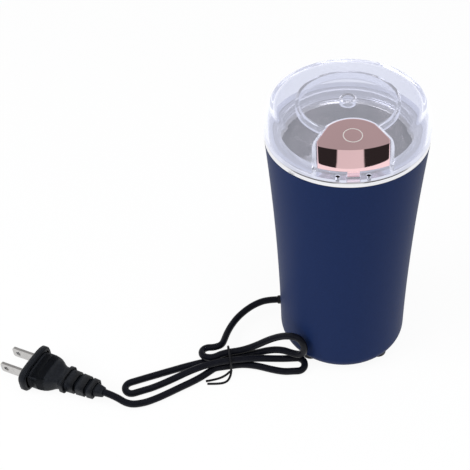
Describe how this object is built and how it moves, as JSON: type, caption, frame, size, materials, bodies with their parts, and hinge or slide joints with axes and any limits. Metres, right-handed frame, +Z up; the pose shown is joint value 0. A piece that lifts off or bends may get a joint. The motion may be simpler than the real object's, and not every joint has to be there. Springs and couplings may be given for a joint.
{
  "type": "electric coffee grinder",
  "caption": "Upright blade coffee grinder: flared navy body, steel bowl, clear lift-off lid with a sprung rose-gold push button, and a black mains cord tied in a hank with a two-blade plug.",
  "frame": {"origin": "on the table, under the middle of the body", "axes": "+Z up along the body, -Y towards the button, the cord leaves towards -X"},
  "size_m": [0.2455, 0.1039, 0.1736],
  "materials": {
    "navy_body": "matte navy",
    "dark_plastic": "moulded black",
    "black_rubber": "soft black",
    "ring_steel": "polished",
    "bowl_steel": "brushed",
    "clear_lid": "clear",
    "rose_gold": "mirror plated",
    "iron": "bare",
    "copper": "bare",
    "prong_brass": "bright",
    "board_green": "laminate"
  },
  "bodies": {
    "base": {"housing": "navy_body", "base_plate": "dark_plastic", "motor_bracket": "dark_plastic", "motor_end_cap": "dark_plastic", "push_switch": "dark_plastic", "cord_clamp": "dark_plastic", "board_components": "dark_plastic", "locating_pins": "dark_plastic", "carbon_brushes": "dark_plastic", "rubber_feet": "black_rubber", "bowl_gasket": "black_rubber", "cord_grommet": "black_rubber", "shaft_seal": "black_rubber", "cord_sheath_end": "black_rubber", "cord_lead": "black_rubber", "cord_hank": "black_rubber", "cord_tail": "black_rubber", "plug_body": "black_rubber", "inner_leads": "black_rubber", "twist_tie": "black_rubber", "rim_ring": "ring_steel", "grinding_bowl": "bowl_steel", "motor_can": "bowl_steel", "base_screws": "bowl_steel", "bracket_screws": "bowl_steel", "motor_screws": "bowl_steel", "switch_screws": "bowl_steel", "clamp_screws": "bowl_steel", "rod_spring": "bowl_steel", "motor_magnets": "iron", "upper_bearing": "copper", "lower_bearing": "copper", "plug_prongs": "prong_brass", "circuit_board": "board_green"},
    "rotor": {"motor_shaft": "bowl_steel", "armature_core": "iron", "armature_winding": "copper", "commutator": "copper", "cooling_fan": "dark_plastic", "blade_collar": "bowl_steel", "grinding_blade": "bowl_steel", "blade_nut": "bowl_steel"},
    "lid": {"lid_shell": "clear_lid", "shoulder_screws": "bowl_steel", "button_springs": "bowl_steel"},
    "button": {"button_cap": "rose_gold", "button_carrier": "dark_plastic"},
    "switch_rod_body": {"switch_rod": "dark_plastic"}
  },
  "joints": [
    {"name": "lid_lift", "type": "slide", "parent": "base", "child": "lid", "axis": [0, 0, 1], "range_m": [0, 0.07]},
    {"name": "button_press", "type": "slide", "parent": "lid", "child": "button", "axis": [0, 0, -1], "range_m": [0, 0.004], "stiffness_N_per_m": 400, "springref_m": -0.004, "deforming": ["button_springs"]},
    {"name": "rod_press", "type": "slide", "parent": "base", "child": "switch_rod_body", "axis": [0, 0, -1], "range_m": [0, 0.004], "stiffness_N_per_m": 200, "springref_m": -0.004, "deforming": ["rod_spring"]},
    {"name": "rotor_spin", "type": "hinge", "parent": "base", "child": "rotor", "pos_m": [0, 0, 0.1], "axis": [0, 0, 1], "continuous": true}
  ],
  "couplings": [
    {"joint": "rod_press", "follows": "button_press", "ratio": 1}
  ]
}
